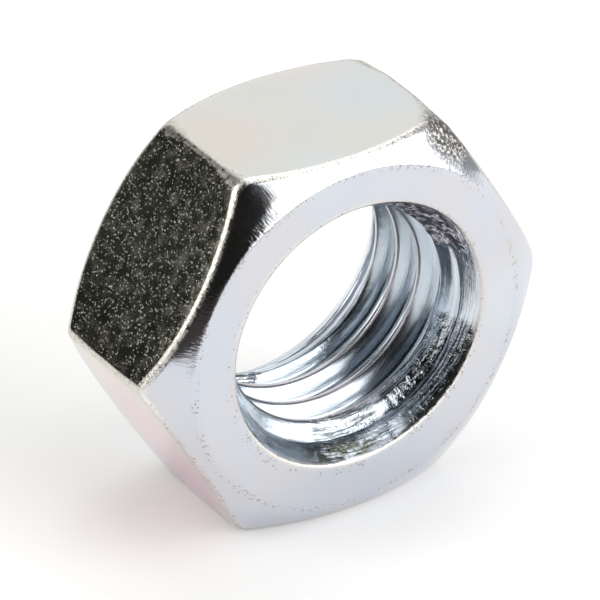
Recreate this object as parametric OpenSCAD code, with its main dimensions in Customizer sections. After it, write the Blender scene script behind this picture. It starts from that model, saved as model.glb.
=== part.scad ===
// Hex nut with a right-hand metric thread, one forged and tapped piece of steel.
// It stands on one of its six flats: +Z is up, the thread runs along Y and the front face looks to -Y.
// The origin is the centre of the flat it stands on. Millimetres.

/* [Hexagon] */
// Width across two opposite flats
across_flats = 21; // [20:0.1:24]
// Thickness along the thread's axis
thickness = 10.3; // [9:0.1:13]

/* [Chamfers] */
// Diameter of the flat bearing face left inside the chamfer
face_d = 19.5; // [18:0.1:20]
// Slope of the chamfer, measured from the bearing face
chamfer_angle = 35; // [15:1:38]

/* [Threaded hole] */
// Major diameter, at the roots of the thread
major_d = 14; // [13.8:0.1:14.2]
// Distance from one crest to the next
pitch = 2; // [1.5:0.25:2.25]
// Minor diameter, across the crests of the thread
minor_d = 12.2; // [11.9:0.05:12.6]
// Diameter of the hole's mouth, where the countersink meets the bearing face
mouth_d = 15; // [14.2:0.1:15.6]
// Full angle of the countersink
countersink_angle = 55; // [50:1:120]

/* [Hidden] */
$fn = 96;
hex_sides = 6;
across_corners = across_flats / cos(180 / hex_sides);
blank_r = across_corners / 2 + 1;
face_r = face_d / 2;
chamfer_drop = (blank_r - face_r) * tan(chamfer_angle);
countersink_depth = (mouth_d - minor_d) / 2 / tan(countersink_angle / 2);
overcut = 1;
zinc = [0.80, 0.81, 0.84];

// Thread groove: a 60 degree V whose bottom is cut off flat at the major diameter
flank_angle = 30;
root_flat = pitch / 8;
groove_steps = 24;
groove_in_r = minor_d / 2 - 0.2;
groove_top = root_flat / 2 + (major_d / 2 - groove_in_r) * tan(flank_angle);
groove_turns = ceil(thickness / pitch) + 1;
groove_profile = [
    [groove_in_r, -groove_top],
    [major_d / 2, -root_flat / 2],
    [major_d / 2, root_flat / 2],
    [groove_in_r, groove_top]
];

// The hexagonal bar that the nut is forged from, standing on its back face
module hexagon_bar() {
    cylinder(d = across_corners, h = thickness, $fn = hex_sides);
}

// Solid of revolution whose two cones turn the corners of both ends off
module turned_envelope() {
    rotate_extrude()
        polygon([
            [0, 0],
            [face_r, 0],
            [blank_r, chamfer_drop],
            [blank_r, thickness - chamfer_drop],
            [face_r, thickness],
            [0, thickness]
        ]);
}

// One mouth: a cone that opens from the crests to the bearing face at z = 0 and runs on past it
module countersink() {
    spread = overcut * tan(countersink_angle / 2);
    translate([0, 0, -overcut])
        cylinder(d1 = mouth_d + 2 * spread, d2 = minor_d, h = countersink_depth + overcut);
}

// The hole at the thread's minor diameter, with a countersink at each end
module tapped_hole() {
    translate([0, 0, -overcut])
        cylinder(d = minor_d, h = thickness + 2 * overcut);
    countersink();
    translate([0, 0, thickness])
        mirror([0, 0, 1])
            countersink();
}

// The groove of a right-hand thread, swept round the axis as one closed strip
module thread_groove() {
    sides = len(groove_profile);
    rings = groove_turns * groove_steps;
    points = [
        for (i = [0 : rings])
            let (turn = i / groove_steps, a = 360 * turn)
                for (p = groove_profile)
                    [p[0] * cos(a), p[0] * sin(a), p[1] + (turn - 0.5) * pitch]
    ];
    walls = [
        for (i = [0 : rings - 1])
            for (j = [0 : sides - 1])
                let (a = i * sides + j, b = i * sides + (j + 1) % sides)
                    each [[a, b, b + sides], [a, b + sides, a + sides]]
    ];
    first_cap = [for (j = [0 : sides - 1]) sides - 1 - j];
    last_cap = [for (j = [0 : sides - 1]) rings * sides + j];
    polyhedron(points, concat(walls, [first_cap, last_cap]));
}

module hex_nut() {
    color(zinc)
        translate([0, thickness / 2, across_flats / 2])
            rotate([90, 0, 0])
                difference() {
                    intersection() {
                        hexagon_bar();
                        turned_envelope();
                    }
                    tapped_hole();
                    thread_groove();
                }
}

hex_nut();
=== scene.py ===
"""Looks of a zinc-plated hex nut that stands on one flat of its hexagon.

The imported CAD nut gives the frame: +Z up, the thread along Y, the front face towards -Y.
One closed mesh stands for the CAD node. It has the rolled corners, the soft chamfers and the cut thread.
Distances are in metres, and in the materials' own textures they are in millimetres.
"""
import math

import bpy
import numpy as np
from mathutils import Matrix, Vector, noise


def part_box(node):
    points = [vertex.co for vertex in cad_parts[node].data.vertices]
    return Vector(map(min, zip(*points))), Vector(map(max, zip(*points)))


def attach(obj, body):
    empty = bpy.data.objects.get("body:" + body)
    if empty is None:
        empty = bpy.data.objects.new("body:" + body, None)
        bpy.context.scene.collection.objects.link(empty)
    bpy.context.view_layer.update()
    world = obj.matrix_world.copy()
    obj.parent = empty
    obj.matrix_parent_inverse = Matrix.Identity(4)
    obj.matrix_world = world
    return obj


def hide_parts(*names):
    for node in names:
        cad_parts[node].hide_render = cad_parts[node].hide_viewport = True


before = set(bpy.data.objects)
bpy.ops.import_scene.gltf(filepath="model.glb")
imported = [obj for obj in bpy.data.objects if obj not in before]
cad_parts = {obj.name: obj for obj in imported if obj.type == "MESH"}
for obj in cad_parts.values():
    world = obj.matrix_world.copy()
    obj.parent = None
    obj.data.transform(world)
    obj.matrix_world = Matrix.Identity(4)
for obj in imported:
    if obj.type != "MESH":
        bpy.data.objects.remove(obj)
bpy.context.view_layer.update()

MM = 0.001

# ================================================================ sizes
# from the CAD nut
low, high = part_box("hex_nut")
ACROSS_FLATS = high.z - low.z
THICKNESS = high.y - low.y
MIDDLE = Vector((0, (low.y + high.y) / 2, (low.z + high.z) / 2))
APOTHEM = ACROSS_FLATS / 2
HALF = THICKNESS / 2

# outside: the bearing face, the chamfer that falls away from it, and how far the edges are rounded
FACE_R = 9.74 * MM
FACE_BEND = 0.25 * MM
BEND_REACH = 0.3 * MM
# the chamfer's slope by the face and further out, and the radii between which it changes
CHAMFER_SLOPES = (0.60, 0.74)
STEEPENS = (10.2 * MM, 10.8 * MM)
# how far the corners are rounded in the middle of the nut and, for the corners at 0, 60, 120 degrees and so
# on, at its ends, and the distances from the middle plane between which the rounding grows
CORNER_ROUND = 0.45 * MM
END_ROUND = np.array((1.5, 1.85, 1.25, 0.6, 1.05, 1.2)) * MM
ROUND_GROWS = (1.0 * MM, 3.6 * MM)
# the ridge between chamfer and side: its rounding over a flat's middle and at a corner, the radii between
# which that changes, and the chamfer's slope at the ridge
RIDGE_ROUND = (0.58 * MM, 0.95 * MM)
RIDGE_GROWS = (11.0 * MM, 12.05 * MM)
RIDGE_SLOPE = math.radians(36)

# the hole: countersunk mouth and right-hand thread, whose axis lies a little off the hexagon's
MOUTH_R = 7.49 * MM
MOUTH_ROUND = 0.10 * MM
MOUTH_SPREAD = math.tan(math.radians(26.5))
MOUTH_FLARE, FLARE_DEPTH = 0.15 * MM, 0.9 * MM
PITCH = 2.0 * MM
MINOR_R = 6.12 * MM
MAJOR_R = 7.10 * MM
LAND = 0.30 * MM
FLANK = math.radians(30)
LAND_SOFT, ROOT_SOFT, JOIN_SOFT = 0.05 * MM, 0.16 * MM, 0.03 * MM
HOLE_SHIFT = (0.14 * MM, 0.18 * MM)
# angle and height of a point on the crest
LAND_AT = (math.radians(-48.85), 0.97 * MM)
# distances from the middle plane between which the thread gets shallower, and by how much
RUN_OUT = (3.9 * MM, 4.3 * MM)
RUN_OUT_LOSS = 0.3
# stretches of the front run-out that the tap tore: middle angle and half the length, in degrees
# (at the back they lie opposite), and how high the flakes and crumbs of metal stand
TORN = ((52, 29), (-38, 24), (-86, 17))
FLAKE, CRUMB = 0.045 * MM, 0.03 * MM

# the direction that the camera looks from
AZIMUTH = math.radians(-32.97)
ELEVATION = math.radians(31.76)

# mesh columns in each sixth of a turn, and mesh rows to a turn of the thread
SECTOR_STEPS = 72
ROWS_PER_PITCH = 20
# how much denser the columns are at a corner, and over what angle
CORNER_DENSITY = 4
CORNER_SPREAD = math.radians(2.4)


# ================================================================ the nut's shape
def smooth(x, a, b):
    """0 below a, 1 above b, and a smooth step between; a may be over b, which turns it round."""
    t = np.clip((x - a) / (b - a), 0, 1)
    return t * t * (3 - 2 * t)


def soft_over(x, soft):
    """x where it is over 0 and 0 below, with the corner rounded by soft."""
    return 0.5 * (x + np.sqrt(x ** 2 + soft ** 2))


def angles():
    """Angles round the axis for the mesh's columns, closer together at the six corners."""
    fine = np.linspace(0, 2 * math.pi, 36001)
    off_corner = np.abs((fine + math.pi / 6) % (math.pi / 3) - math.pi / 6)
    density = 1 + CORNER_DENSITY * np.exp(-((off_corner / CORNER_SPREAD) ** 2))
    total = np.concatenate([[0], np.cumsum((density[1:] + density[:-1]) / 2)])
    columns = 6 * SECTOR_STEPS
    return np.interp(np.arange(columns) / columns * total[-1], total, fine)


def rolled(phi, w):
    """Radius of the hexagon's rounded corners at angle phi and height w over the middle plane."""
    at_end = END_ROUND[np.round(phi / (math.pi / 3)).astype(int) % 6]
    return CORNER_ROUND + (at_end - CORNER_ROUND) * smooth(np.abs(w), *ROUND_GROWS)


def rolled_reach(rounding):
    """Angle on either side of a corner that its rounding takes up."""
    centre = (APOTHEM - rounding) / math.cos(math.pi / 6)
    return np.arctan2(rounding / 2, centre + rounding * math.cos(math.pi / 6))


def hexagon_radius(phi, w=HALF):
    """Radius of the hexagon at angle phi and height w, with its rounded corners every 60 degrees from 0."""
    rounding = rolled(phi, w)
    off_flat = np.abs(phi % (math.pi / 3) - math.pi / 6)
    flat = APOTHEM / np.cos(off_flat)
    centre = (APOTHEM - rounding) / math.cos(math.pi / 6)
    off_corner = math.pi / 6 - off_flat
    inside = np.clip(rounding ** 2 - (centre * np.sin(off_corner)) ** 2, 0, None)
    rounded = centre * np.cos(off_corner) + np.sqrt(inside)
    return np.where(off_corner < rolled_reach(rounding), rounded, flat)


def chamfer_table():
    """Radii, and the depth of the face and chamfer below the bearing plane at each."""
    radii = np.linspace(6 * MM, 14 * MM, 4001)
    slope = CHAMFER_SLOPES[0] * smooth(radii, FACE_R - FACE_BEND, FACE_R + FACE_BEND)
    slope += (CHAMFER_SLOPES[1] - CHAMFER_SLOPES[0]) * smooth(radii, *STEEPENS)
    depth = np.concatenate([[0], np.cumsum((slope[1:] + slope[:-1]) / 2 * np.diff(radii))])
    return radii, depth


CHAMFER = chamfer_table()


def end_height(r):
    """Height of the nut's end over its middle plane at radius r."""
    return HALF - np.interp(r, *CHAMFER)


def bend(a, corner, b, steps):
    """Points of a soft edge that rounds the corner between a and b, without a and b."""
    t = (np.arange(1, steps) / steps)[:, None]
    return (1 - t) ** 2 * a + 2 * t * (1 - t) * corner + t ** 2 * b


def hole_shift(phi):
    """How far the hole's wall stands further out at angle phi, because its axis is off centre."""
    return HOLE_SHIFT[0] * np.cos(phi) + HOLE_SHIFT[1] * np.sin(phi)


def outer_profile(radius, phi):
    """(r, w) points from the front mouth over the face, chamfer and side, down to the middle plane.

    radius is the hexagon's radius at the angle phi, at the edge between the chamfer and the side.
    """
    rim = np.array([MOUTH_R - MOUTH_ROUND * MOUTH_SPREAD, HALF - MOUTH_ROUND])
    mouth = np.array([MOUTH_R, HALF])
    shore = np.array([MOUTH_R + MOUTH_ROUND, HALF])
    toward_corner = float(smooth(radius, *RIDGE_GROWS))
    rounding = RIDGE_ROUND[0] + (RIDGE_ROUND[1] - RIDGE_ROUND[0]) * toward_corner
    turn = rounding * math.tan((math.pi / 2 - RIDGE_SLOPE) / 2)
    ridge = np.array([radius, float(end_height(radius))])
    before_r = radius - turn * math.cos(RIDGE_SLOPE)
    before = np.array([before_r, float(end_height(before_r))])
    after_w = ridge[1] - turn
    after = np.array([float(hexagon_radius(phi, after_w)), after_w])
    face = np.linspace(MOUTH_R + MOUTH_ROUND, FACE_R - BEND_REACH, 9)[1:]
    blend = np.linspace(FACE_R - BEND_REACH, FACE_R + BEND_REACH, 7)[1:]
    chamfer = np.linspace(FACE_R + BEND_REACH, before[0], 11)[1:-1]
    across = np.concatenate([face, blend, chamfer])
    end = np.stack([across, end_height(across)], 1)
    side = np.linspace(after[1], 0, 9)
    wall = np.stack([hexagon_radius(phi, side), side], 1)
    profile = np.concatenate([
        rim[None], bend(rim, mouth, shore, 4), shore[None],
        end, before[None], bend(before, ridge, after, 9), wall,
    ])
    near_hole = 1 - smooth(profile[:, 0], MOUTH_R + 2 * MOUTH_ROUND, FACE_R - BEND_REACH)
    profile[:, 0] += hole_shift(phi) * near_hole
    return profile


def cone_radius(phi, w):
    """Radius of the countersinks, which flare a little more at the mouth."""
    depth = HALF - np.abs(w)
    flare = MOUTH_FLARE * (1 - np.exp(-depth / FLARE_DEPTH))
    return MOUTH_R - depth * MOUTH_SPREAD - flare + hole_shift(phi)


def thread_radius(phi, w):
    """Radius of the threaded hole at angle phi and height w: lands, 60 degree flanks, rounded roots."""
    phase = (w - LAND_AT[1]) / PITCH - (phi - LAND_AT[0]) / (2 * math.pi)
    from_land = np.abs((phase + 0.5) % 1 - 0.5) * PITCH
    climb = soft_over((from_land - LAND / 2) / math.tan(FLANK), LAND_SOFT)
    climb = climb - soft_over(climb - (MAJOR_R - MINOR_R), ROOT_SOFT)
    climb = climb * (1 - RUN_OUT_LOSS * smooth(np.abs(w), *RUN_OUT))
    return MINOR_R + climb + hole_shift(phi)


def hole_radius(phi, w):
    """The wall of the hole: the thread, or the countersink where that is wider."""
    thread = thread_radius(phi, w)
    return thread + soft_over(cone_radius(phi, w) - thread, JOIN_SOFT)


def grit(phi, w, along, across, seed=0.0):
    """Noise from -1 to 1 on the wall of the hole; along and across are its waves to a millimetre."""
    reach = MINOR_R / MM * along
    return np.array([
        noise.noise(Vector((reach * math.cos(a), reach * math.sin(a) + seed, across * b / MM)))
        for a, b in zip(phi, w)
    ])


def torn_part(phi, w):
    """How torn the hole's wall is, from 0 to 1: only near the mouths, and in a few stretches."""
    start = HALF - (MOUTH_R - MINOR_R) / MOUTH_SPREAD
    ragged = np.abs(w) + 0.25 * MM * grit(phi, w, 0.8, 0.8)
    near_mouth = smooth(ragged, start - 0.2 * MM, start + 0.25 * MM)
    near_mouth *= 1 - smooth(np.abs(w), HALF - 0.35 * MM, HALF - 0.1 * MM)
    stretch = np.zeros(len(w))
    for middle, half in TORN:
        turned = np.degrees(phi) + np.where(w < 0, 180, 0)
        away = np.abs((turned - middle + 180) % 360 - 180) + 3 * grit(phi, w, 1.2, 2.5, 5.0)
        stretch = np.maximum(stretch, 1 - smooth(away, half - 2, half + 2))
    return near_mouth * (0.12 + 0.88 * stretch)


def tear(phi, w):
    """Metal that the tap dragged up in flakes along the thread."""
    flakes = smooth(grit(phi, w, 1.1, 3.6, 11.0), -0.10, 0.10)
    crumbs = grit(phi, w, 4.0, 4.6, 23.0)
    return torn_part(phi, w) * (FLAKE * flakes + CRUMB * crumbs)


def nut_skin():
    """Points (r, w, phi) and faces of one closed skin, and how many of the points are on the outside.

    Its rows run over the outside, and inside they run down the thread's helix.
    """
    phi = angles()
    columns = len(phi)
    front = np.stack([outer_profile(r, a) for r, a in zip(hexagon_radius(phi), phi)])
    back = front[:, -2::-1].copy()
    back[:, :, 1] *= -1
    outer = np.concatenate([front, back], 1)
    rows = outer.shape[1]
    points = [np.stack([*outer[i].T, np.full(rows, phi[i])], 1) for i in range(columns)]

    step = PITCH / ROWS_PER_PITCH
    lines = int(math.ceil((THICKNESS + 2 * PITCH) / step))
    rim = HALF - MOUTH_ROUND
    ids = np.zeros((columns, lines), int)
    count = columns * rows
    for i in range(columns):
        w = -HALF - PITCH + step * np.arange(lines) + PITCH * phi[i] / (2 * math.pi)
        inside = np.abs(w) < rim - 0.35 * step
        ids[i] = np.where(w > 0, i * rows, i * rows + rows - 1)
        ids[i][inside] = count + np.arange(inside.sum())
        count += int(inside.sum())
        w = w[inside]
        around = np.full(len(w), phi[i])
        points.append(np.stack([hole_radius(around, w) - tear(around, w), w, around], 1))

    faces = []
    for i in range(columns):
        j = (i + 1) % columns
        for k in range(rows - 1):
            faces.append((i * rows + k, i * rows + k + 1, j * rows + k + 1, j * rows + k))
        shift = 0 if j else ROWS_PER_PITCH
        for k in range(lines - 1 - shift):
            ring = (ids[i, k], ids[i, k + 1], ids[j, k + 1 + shift], ids[j, k + shift])
            ring = tuple(int(v) for v in dict.fromkeys(ring))
            if len(ring) > 2:
                faces.append(ring)
    return np.concatenate(points), faces, columns * rows


def build_nut():
    """The nut's mesh, with a mask for each kind of surface that the material tells apart."""
    points, faces, outside = nut_skin()
    r, w, phi = points.T
    xyz = np.stack([r * np.cos(phi), -w, r * np.sin(phi)], 1) + np.array(MIDDLE)
    mesh = bpy.data.meshes.new("nut")
    mesh.from_pydata(xyz.tolist(), [], faces)
    mesh.validate()
    mesh.update()
    mesh.polygons.foreach_set("use_smooth", [True] * len(mesh.polygons))

    # masks for the material
    end_radius = hexagon_radius(phi)
    radius = hexagon_radius(phi, w)
    on_outside = np.arange(len(points)) < outside
    ridge = np.hypot(r - end_radius, np.abs(w) - end_height(end_radius))
    off_corner = np.abs((phi + math.pi / 6) % (math.pi / 3) - math.pi / 6)
    corner = 1 - off_corner / rolled_reach(rolled(phi, w))
    mouth = np.hypot(r - MOUTH_R - hole_shift(phi), HALF - np.abs(w))
    from_land = np.abs(r - MINOR_R - hole_shift(phi))
    masks = {
        "side": on_outside * smooth(radius - r, 0.02 * MM, 0.0),
        "ridge": on_outside * smooth(ridge, 0.34 * MM, 0.12 * MM),
        "corner": on_outside * smooth(radius - r, 0.3 * MM, 0.0) * smooth(corner, 0.0, 0.4),
        "mouth": smooth(mouth, 0.18 * MM, 0.06 * MM),
        "hole": 1.0 - on_outside,
        "land": ~on_outside * smooth(from_land, 0.12 * MM, 0.03 * MM),
        "torn": ~on_outside * torn_part(phi, w),
    }
    for name, values in masks.items():
        mask = mesh.attributes.new(name, "FLOAT", "POINT")
        mask.data.foreach_set("value", np.asarray(values, np.float32))
    nut = bpy.data.objects.new("nut", mesh)
    bpy.context.scene.collection.objects.link(nut)
    return nut


# ================================================================ materials
class Nodes:
    """Short calls that add shader nodes to one node tree."""

    def __init__(self, tree):
        self.tree = tree

    def add(self, kind, **settings):
        node = self.tree.nodes.new(kind)
        for name, value in settings.items():
            setattr(node, name, value)
        return node

    def plug(self, socket, value):
        if isinstance(value, bpy.types.NodeSocket):
            self.tree.links.new(value, socket)
        else:
            socket.default_value = value

    def math(self, operation, a, b=0.0, c=0.0):
        node = self.add("ShaderNodeMath", operation=operation)
        for socket, value in zip(node.inputs, (a, b, c)):
            self.plug(socket, value)
        return node.outputs[0]

    def plus(self, a, b):
        return self.math("ADD", a, b)

    def minus(self, a, b):
        return self.math("SUBTRACT", a, b)

    def times(self, a, b):
        return self.math("MULTIPLY", a, b)

    def scaled(self, a, b, c):
        return self.math("MULTIPLY_ADD", a, b, c)

    def larger(self, a, b):
        return self.math("MAXIMUM", a, b)

    def size(self, a):
        return self.math("ABSOLUTE", a)

    def vector(self, operation, a, b=(0, 0, 0)):
        node = self.add("ShaderNodeVectorMath", operation=operation)
        self.plug(node.inputs[0], a)
        self.plug(node.inputs[1], b)
        return node.outputs["Value" if operation in ("LENGTH", "DOT_PRODUCT") else "Vector"]

    def away(self, where, centre):
        """Distance from the centre."""
        return self.vector("LENGTH", self.vector("SUBTRACT", where, centre))

    def combine(self, x, y, z):
        node = self.add("ShaderNodeCombineXYZ")
        for socket, value in zip(node.inputs, (x, y, z)):
            self.plug(socket, value)
        return node.outputs[0]

    def noise(self, where, scale, detail=2.0, rough=0.5, fourth=None):
        """Smooth noise from 0 to 1, in four dimensions if a fourth coordinate is given."""
        node = self.add("ShaderNodeTexNoise", noise_dimensions="3D" if fourth is None else "4D")
        self.plug(node.inputs["Vector"], where)
        if fourth is not None:
            self.plug(node.inputs["W"], fourth)
        for name, value in (("Scale", scale), ("Detail", detail), ("Roughness", rough)):
            node.inputs[name].default_value = value
        return node.outputs["Fac"]

    def cells(self, where, scale, output):
        node = self.add("ShaderNodeTexVoronoi")
        self.plug(node.inputs["Vector"], where)
        node.inputs["Scale"].default_value = scale
        return node.outputs[output]

    def spots(self, where, scale, reach, least):
        """Round spots in some of the cells: those whose own random number is over least."""
        chance = self.vector("DOT_PRODUCT", self.cells(where, scale, "Color"), (1.0, 0.0, 0.0))
        near = self.step(self.cells(where, scale, "Distance"), reach, reach * 0.4)
        return self.times(near, self.step(chance, least, least + 0.25 * (1 - least)))

    def step(self, value, low, high, to_low=0.0, to_high=1.0):
        """A smooth step of the value; low may be over high, which turns it round."""
        node = self.add("ShaderNodeMapRange", interpolation_type="SMOOTHSTEP")
        for socket, v in zip(node.inputs, (value, low, high, to_low, to_high)):
            self.plug(socket, v)
        return node.outputs[0]

    def mix(self, factor, a, b):
        node = self.add("ShaderNodeMix", data_type="RGBA")
        self.plug(node.inputs[0], factor)
        self.plug(node.inputs[6], a)
        self.plug(node.inputs[7], b)
        return node.outputs[2]

    def mask(self, name):
        """A mask that build_nut left on the mesh."""
        return self.add("ShaderNodeAttribute", attribute_name=name).outputs["Fac"]

    def bump(self, height, distance, normal=None):
        """Relief of the given depth in metres, on top of the relief in normal."""
        node = self.add("ShaderNodeBump")
        self.plug(node.inputs["Height"], height)
        self.plug(node.inputs["Distance"], distance)
        node.inputs["Strength"].default_value = 1.0
        if normal is not None:
            self.plug(node.inputs["Normal"], normal)
        return node.outputs[0]


# colours of the metal
TURNED, TURNED_WARM = (0.625, 0.655, 0.72, 1), (0.65, 0.655, 0.69, 1)
PRESSED, SCALE = (0.72, 0.715, 0.69, 1), (0.70, 0.71, 0.60, 1)
BORED, BURNISHED, STREAKED = (0.585, 0.665, 0.74, 1), (0.81, 0.85, 0.90, 1), (0.43, 0.50, 0.575, 1)
CREST = (0.76, 0.71, 0.72, 1)
# worn edges: a dull wear colour, and a near-white painted highlight for their upper-left side and the
# mouth's bottom; worn corners
WORN_DULL, WORN_PAINTED_HIGHLIGHT, WORN_CORNER = (0.66, 0.62, 0.60, 1), (0.95, 0.92, 0.83, 1), (0.66, 0.65, 0.60, 1)
SOIL, STAIN, BRUSHED = (0.26, 0.26, 0.22, 1), (0.36, 0.30, 0.25, 1), (0.34, 0.34, 0.33, 1)
PIT, BETWEEN_PITS = (0.07, 0.065, 0.06, 1), (0.74, 0.72, 0.69, 1)
SCUFF, BURR = (0.10, 0.105, 0.10, 1), (0.17, 0.18, 0.145, 1)
TORN_DARK, TORN_BRIGHT = (0.30, 0.23, 0.27, 1), (0.97, 0.97, 0.98, 1)

# places in millimetres from the nut's middle: the struck corner, the flat with the most scale, the burr in
# the lower countersink, the radii of the stained rims of face and mouth, and the direction towards which
# worn edges are painted brighter, as a painted highlight
STRUCK_AT = (6.6, -4.3, 9.95)
SCALY_AT = (-9.1, 0.0, 5.25)
BURR_AT = (-0.8, -4.5, -7.0)
FACE_RIM, MOUTH_RIM = 9.75, 7.65
TOWARD_PAINTED_HIGHLIGHT = (-0.6, 0.0, 0.8)

# depth of the relief, in metres
GRAIN_DEPTH, MARK_DEPTH, GLINT_DEPTH, HAIR_DEPTH, RING_DEPTH = 9e-6, 17e-6, 40e-6, 12e-6, 1e-6
WORN_DEPTH, WORN_CORNER_DEPTH, TORN_DEPTH, STRUCK_DEPTH = 40e-6, 10e-6, 16e-6, 60e-6
TOOL_DEPTH, TOOL_TORN_DEPTH = 13e-6, 30e-6
FLAKE_DEPTHS = (20e-6, 70e-6)

# soft patches of the plating's play of colour: centre and radius in millimetres, and colour
BLOOMS = (
    ((-5.0, 0.5, 10.5), 4.0, (0.77, 0.69, 0.635)),
    ((-2.0, -4.5, 10.5), 2.6, (0.70, 0.75, 0.75)),
    ((4.0, 0.5, 10.5), 4.0, (0.66, 0.73, 0.76)),
    ((-10.8, 0.0, -2.2), 5.0, (1.0, 0.74, 0.66)),
    ((-9.2, 0.0, -5.6), 5.5, (1.0, 0.63, 0.72)),
    ((-7.0, 0.0, -9.0), 4.6, (0.80, 0.54, 0.72)),
    ((10.5, 0.0, 3.5), 4.5, (0.80, 0.72, 0.62)),
    ((8.5, 1.0, -6.0), 5.0, (0.72, 0.66, 0.80)),
    ((-1.0, 0.0, -10.5), 5.0, (0.70, 0.76, 0.74)),
    ((3.0, 5.2, 8.5), 4.0, (0.78, 0.72, 0.72)),
    ((9.5, -5.2, -0.5), 3.0, (0.72, 0.78, 0.82)),
)


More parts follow.
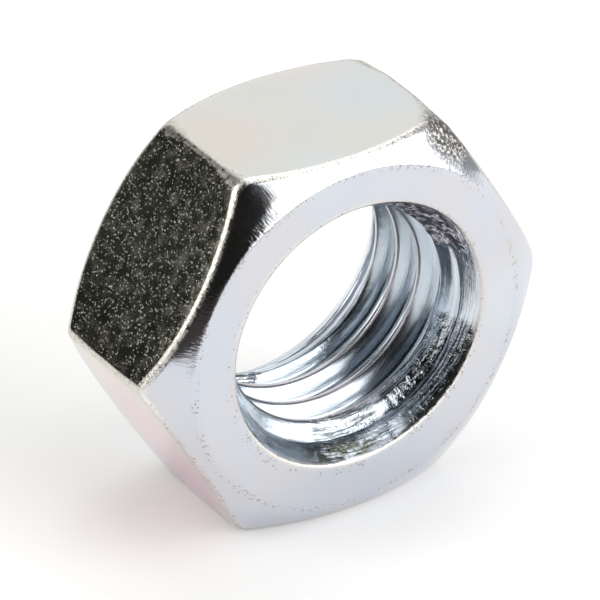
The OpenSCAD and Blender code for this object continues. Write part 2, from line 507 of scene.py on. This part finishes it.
def zinc_plate():
    """Zinc on steel: blue-white where turned, a play of colour on pressed flats, and worn edges with a
    painted highlight.
    """
    material = bpy.data.materials.new("zinc_plate")
    material.use_nodes = True
    n = Nodes(material.node_tree)
    shader = material.node_tree.nodes["Principled BSDF"]

    # places, in millimetres from the nut's middle
    here = n.vector("SUBTRACT", n.add("ShaderNodeTexCoord").outputs["Object"], tuple(MIDDLE))
    here = n.vector("MULTIPLY", here, (1 / MM, 1 / MM, 1 / MM))
    split = n.add("ShaderNodeSeparateXYZ")
    n.plug(split.inputs[0], here)
    x, y, z = split.outputs
    radius = n.vector("LENGTH", n.combine(x, 0.0, z))
    cos, sin = n.math("DIVIDE", x, radius), n.math("DIVIDE", z, radius)
    # stretched places: hairs run out from the axis, rings run round it, and turns follow the thread
    hairs = n.combine(n.times(cos, 10.0), n.times(sin, 10.0), n.times(radius, 0.25))
    rings = n.combine(cos, sin, n.times(radius, 6.0))
    turn = n.math("ARCTAN2", z, x)
    phase = n.plus(n.times(y, 2 * math.pi * MM / PITCH), turn)
    turns = n.combine(
        n.times(n.math("COSINE", phase), 3.0), n.times(n.math("SINE", phase), 3.0), n.times(cos, 2.0),
    )

    side, hole, land, torn = n.mask("side"), n.mask("hole"), n.mask("land"), n.mask("torn")
    ridge, corner, mouth = n.mask("ridge"), n.mask("corner"), n.mask("mouth")
    outside = n.minus(1.0, hole)
    worn = n.larger(n.larger(ridge, corner), mouth)
    worn = n.times(worn, n.step(n.noise(here, 4.0, 3.0), 0.30, 0.55, 0.35, 1.0))
    # painted highlight: worn edges that face the upper left, and the bottom of the mouth, are painted near
    # white
    highlight_side = n.step(n.vector("DOT_PRODUCT", here, TOWARD_PAINTED_HIGHLIGHT), 4.0, 7.0)
    highlight_side = n.larger(n.times(highlight_side, n.minus(1.0, mouth)), n.times(mouth, n.step(z, -2.0, -5.0)))
    struck = n.step(n.away(here, STRUCK_AT), 2.25, 1.3)
    struck = n.times(struck, outside)

    # marks of the pressed flats, thickest on the flat with the most scale: specks, dust, glints, scratches
    scaly = n.step(n.away(here, SCALY_AT), 8.0, 5.0, 0.10, 1.0)
    scaly = n.times(side, scaly)
    speck = n.spots(here, 5.2, 0.15, 0.70)
    dust = n.spots(here, 8.0, 0.22, 0.78)
    across = n.combine(n.plus(y, z), n.minus(y, z), x)
    glint = n.spots(here, 5.0, 0.17, 0.86)
    scratch = n.spots(n.vector("MULTIPLY", here, (10.0, 10.0, 1.3)), 1.0, 0.26, 0.80)
    for stretch in ((9.0, 1.2, 6.0), (1.2, 9.0, 6.0)):
        scratch = n.larger(scratch, n.spots(n.vector("MULTIPLY", across, stretch), 1.0, 0.24, 0.88))
    marks = n.larger(n.larger(speck, n.times(dust, 0.8)), n.times(scratch, 0.6))

    # lines that the tap left along the thread
    tool = n.noise(turns, 1.0, 3.0, 0.7, fourth=n.times(sin, 2.0))

    # hairs that turning left on the chamfers
    hair = n.noise(hairs, 7.0, 3.0, 0.65)
    chamfer = n.times(n.minus(outside, side), n.step(radius, 9.3, 9.8))

    # colour
    drift = n.noise(here, 0.30, 2.0)
    colour = n.mix(n.step(drift, 0.38, 0.62), TURNED, TURNED_WARM)
    colour = n.mix(side, colour, PRESSED)
    wander = n.scaled(n.noise(here, 0.5, 3.0), 1.6, -0.8)
    for centre, reach, tint in BLOOMS:
        away = n.plus(n.away(here, centre), wander)
        strength = n.times(n.step(away, reach, reach * 0.25), n.scaled(side, 0.5, 0.25))
        colour = n.mix(strength, colour, (*tint, 1))
    colour = n.mix(n.times(scaly, 0.8), colour, SCALE)
    colour = n.mix(n.times(hole, 0.85), colour, BORED)
    burnished = n.times(hole, n.step(n.size(y), 3.5, 4.1))
    burnished = n.times(burnished, n.step(n.size(x), 3.0, 6.0))
    colour = n.mix(n.times(burnished, 0.9), colour, BURNISHED)
    streak = n.times(hole, n.step(tool, 0.40, 0.62, 0.0, 0.5))
    colour = n.mix(streak, colour, STREAKED)
    colour = n.mix(n.times(land, 0.8), colour, CREST)
    # worn edges in a dull wear colour, painted near white as a painted highlight on the highlight side
    colour = n.mix(n.times(worn, 0.8), colour, n.mix(highlight_side, WORN_DULL, WORN_PAINTED_HIGHLIGHT))
    colour = n.mix(n.times(corner, 0.7), colour, WORN_CORNER)
    brushed = n.times(n.times(chamfer, n.step(z, 7.0, 8.5)), n.step(hair, 0.52, 0.68, 0.0, 0.65))
    colour = n.mix(brushed, colour, BRUSHED)
    soil = n.times(corner, n.step(n.noise(here, 5.0, 4.0, 0.65), 0.48, 0.66, 0.0, 0.5))
    colour = n.mix(soil, colour, SOIL)
    pits = n.mix(n.step(n.noise(here, 5.6, 4.0, 0.7), 0.48, 0.58), PIT, BETWEEN_PITS)
    colour = n.mix(n.times(struck, 0.9), colour, pits)
    scuff = n.times(torn, n.step(tool, 0.48, 0.57))
    colour = n.mix(n.times(scuff, 0.86), colour, SCUFF)
    burr = n.step(n.away(here, BURR_AT), 2.6, 1.4)
    burr = n.times(burr, n.times(hole, n.step(y, -3.5, -4.0)))
    burr = n.times(burr, n.step(n.noise(here, 2.2, 3.0), 0.36, 0.50))
    colour = n.mix(n.times(burr, 0.85), colour, BURR)
    flakes = n.step(n.noise(here, 2.2, 3.0, 0.6), 0.46, 0.62)
    tear_tint = n.times(torn, n.step(z, -1.0, 4.0))
    colour = n.mix(n.times(tear_tint, 0.8), colour, n.mix(flakes, TORN_DARK, TORN_BRIGHT))
    circle = n.step(n.size(n.minus(radius, FACE_RIM)), 0.30, 0.08)
    rim = n.step(n.size(n.minus(radius, MOUTH_RIM)), 0.35, 0.10)
    stain = n.times(n.spots(here, 6.5, 0.50, 0.45), n.step(n.noise(here, 0.9, 2.0), 0.42, 0.54))
    stain = n.times(stain, n.larger(n.larger(circle, rim), n.times(ridge, 0.8)))
    colour = n.mix(n.times(stain, n.minus(outside, side)), colour, STAIN)

    # relief: grain and marks on the pressed flats, hairs on the chamfers, tool lines in the hole
    grain = n.noise(here, 3.0, 5.0, 0.7)
    crumble = n.noise(here, 6.0, 3.0, 0.65)
    ring = n.noise(rings, 4.0, 4.0, 0.7)
    face = n.times(n.minus(outside, side), n.step(radius, 9.8, 9.3))
    brink = n.times(chamfer, n.step(radius, 10.6, 9.9, 0.25, 1.0))
    crumbly = n.times(n.times(worn, highlight_side), n.scaled(corner, WORN_CORNER_DEPTH - WORN_DEPTH, WORN_DEPTH))
    crumbly = n.plus(crumbly, n.times(torn, TORN_DEPTH))
    crumbly = n.plus(crumbly, n.times(struck, STRUCK_DEPTH))
    normal = n.bump(grain, n.times(side, GRAIN_DEPTH))
    normal = n.bump(crumble, crumbly, normal=normal)
    normal = n.bump(marks, n.times(scaly, MARK_DEPTH), normal=normal)
    normal = n.bump(glint, n.times(scaly, GLINT_DEPTH), normal=normal)
    normal = n.bump(hair, n.times(brink, HAIR_DEPTH), normal=normal)
    normal = n.bump(ring, n.times(face, RING_DEPTH), normal=normal)
    tool_depth = n.plus(n.times(hole, TOOL_DEPTH), n.times(torn, TOOL_TORN_DEPTH))
    normal = n.bump(tool, tool_depth, normal=normal)
    normal = n.bump(flakes, n.times(torn, n.step(z, 0.5, 3.0, *FLAKE_DEPTHS)), normal=normal)

    # gloss
    rough = n.scaled(n.noise(here, 0.6, 2.0), 0.06, 0.06)
    rough = n.plus(rough, n.times(worn, 0.22))
    rough = n.plus(rough, n.times(hole, n.scaled(torn, -0.10, 0.11)))
    rough = n.plus(rough, n.times(land, 0.06))
    mottle = n.step(n.noise(here, 1.6, 4.0, 0.6), 0.36, 0.68)
    mottle = n.plus(mottle, n.step(z, 1.5, 7.0, 0.0, 0.22))
    rough = n.plus(rough, n.times(mottle, n.times(scaly, 0.10)))
    rough = n.plus(rough, n.times(marks, n.times(scaly, 0.28)))

    n.plug(shader.inputs["Base Color"], colour)
    n.plug(shader.inputs["Normal"], normal)
    n.plug(shader.inputs["Roughness"], rough)
    shader.inputs["Metallic"].default_value = 1.0
    return material


def paint(name, colour, glow=0.0):
    """A matt paint that also shines a little of its own colour."""
    material = bpy.data.materials.new(name)
    material.use_nodes = True
    shader = material.node_tree.nodes["Principled BSDF"]
    shader.inputs["Base Color"].default_value = (*colour, 1)
    shader.inputs["Emission Color"].default_value = (*colour, 1)
    shader.inputs["Emission Strength"].default_value = glow
    shader.inputs["Roughness"].default_value = 0.9
    return material


# ================================================================ the piece
nut = build_nut()
nut.data.materials.append(zinc_plate())
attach(nut, "root")
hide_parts("hex_nut")


# ================================================================ floor and light
FLOOR_HALF = 0.25
FLOOR_PAINT, FLOOR_GLOW = (0.95, 0.95, 0.95), 0.16
FLAG_PAINT = (0.030, 0.021, 0.014)
# the flag's near and far edge from the nut toward the camera, and half the angle that it spreads over
FLAG_NEAR, FLAG_FAR, FLAG_SPREAD = 0.043, 0.30, math.radians(28)
FLAG_LIFT = 0.5 * MM
STUDIO_DARK = (0.014, 0.014, 0.012, 1)
PANEL_DISTANCE = 0.3


def flat_card(name, corners, height, material):
    """A flat stage piece through the corners, level with the floor."""
    mesh = bpy.data.meshes.new(name)
    mesh.from_pydata([(x, y, height) for x, y in corners], [], [(0, 1, 2, 3)])
    mesh.materials.append(material)
    card = bpy.data.objects.new(name, mesh)
    bpy.context.scene.collection.objects.link(card)
    return card


# the floor is lit from below a little, like a light table
square = [(x * FLOOR_HALF, y * FLOOR_HALF) for x, y in ((-1, -1), (1, -1), (1, 1), (-1, 1))]
flat_card("floor", square, low.z, paint("pale_floor", FLOOR_PAINT, FLOOR_GLOW))

# a dark card low in front of the nut: only the nut's gloss shows it, as black in the chamfer on the left
wedge = []
for side, near_or_far in ((-1, FLAG_NEAR), (1, FLAG_NEAR), (1, FLAG_FAR), (-1, FLAG_FAR)):
    reach = near_or_far / math.cos(FLAG_SPREAD)
    azimuth = AZIMUTH + side * FLAG_SPREAD
    wedge.append((math.sin(azimuth) * reach, -math.cos(azimuth) * reach))
flag = flat_card("flag", wedge, low.z + FLAG_LIFT, paint("flag_black", FLAG_PAINT))
flag.visible_camera = flag.visible_diffuse = flag.visible_shadow = flag.visible_transmission = False

world = bpy.data.worlds.new("studio")
bpy.context.scene.world = world
world.use_nodes = True
world.node_tree.nodes["Background"].inputs["Color"].default_value = STUDIO_DARK


def lamp(name, place, facing, width, height, radiance, colour=(1, 1, 1)):
    """A rectangular lamp whose front looks along facing; its height runs up, or back if it lies flat."""
    data = bpy.data.lights.new(name, "AREA")
    data.shape = "RECTANGLE"
    data.size = width
    data.size_y = height
    data.energy = radiance * math.pi * width * height
    data.color = colour
    ob = bpy.data.objects.new(name, data)
    ob.location = place
    ob.rotation_euler = (-Vector(facing)).to_track_quat("Z", "Y").to_euler()
    bpy.context.scene.collection.objects.link(ob)


def panel(name, start, end, top, radiance, colour=(1, 1, 1), bottom=1):
    """An upright lamp between two azimuths and two elevations, in degrees; azimuth 0 is in front."""
    middle, half = math.radians((start + end) / 2), math.radians((end - start) / 2)
    out = Vector((math.sin(middle), -math.cos(middle), 0))
    foot, head = (PANEL_DISTANCE * math.tan(math.radians(a)) for a in (bottom, top))
    place = MIDDLE + out * PANEL_DISTANCE + Vector((0, 0, (foot + head) / 2))
    lamp(name, place, -out, 2 * PANEL_DISTANCE * math.tan(half), head - foot, radiance, colour)


panel("key", -3, 63, 56, 2.4)
panel("left", -126, -86, 66, 2.3, colour=(1.0, 0.97, 0.92), bottom=8)
panel("right", 63, 112, 45, 0.42, bottom=-4)
panel("back", 112, 188, 62, 0.98, bottom=4)
lamp("over", MIDDLE + Vector((0.10, 0.02, 0.35)), (0, 0, -1), 0.34, 0.34, 1.55)


# ================================================================ camera
# its distance, its focal length, and how far the nut's middle lies right of and over the picture's middle
DISTANCE = 24.42 * ACROSS_FLATS
FOCAL_LENGTH = 601.4
NUT_RIGHT, NUT_UP = 0.0054 * ACROSS_FLATS, 0.0149 * ACROSS_FLATS
camera_data = bpy.data.cameras.new("camera")
camera_data.sensor_width = 36
camera_data.lens = FOCAL_LENGTH
camera_data.clip_start = 0.01
camera = bpy.data.objects.new("camera", camera_data)
bpy.context.scene.collection.objects.link(camera)
back = Vector((
    math.sin(AZIMUTH) * math.cos(ELEVATION),
    -math.cos(AZIMUTH) * math.cos(ELEVATION),
    math.sin(ELEVATION),
))
right = Vector((math.cos(AZIMUTH), math.sin(AZIMUTH), 0))
camera.location = MIDDLE + back * DISTANCE - right * NUT_RIGHT - back.cross(right) * NUT_UP
camera.rotation_euler = back.to_track_quat("Z", "Y").to_euler()
bpy.context.scene.camera = camera
bpy.context.scene.view_settings.view_transform = "Standard"
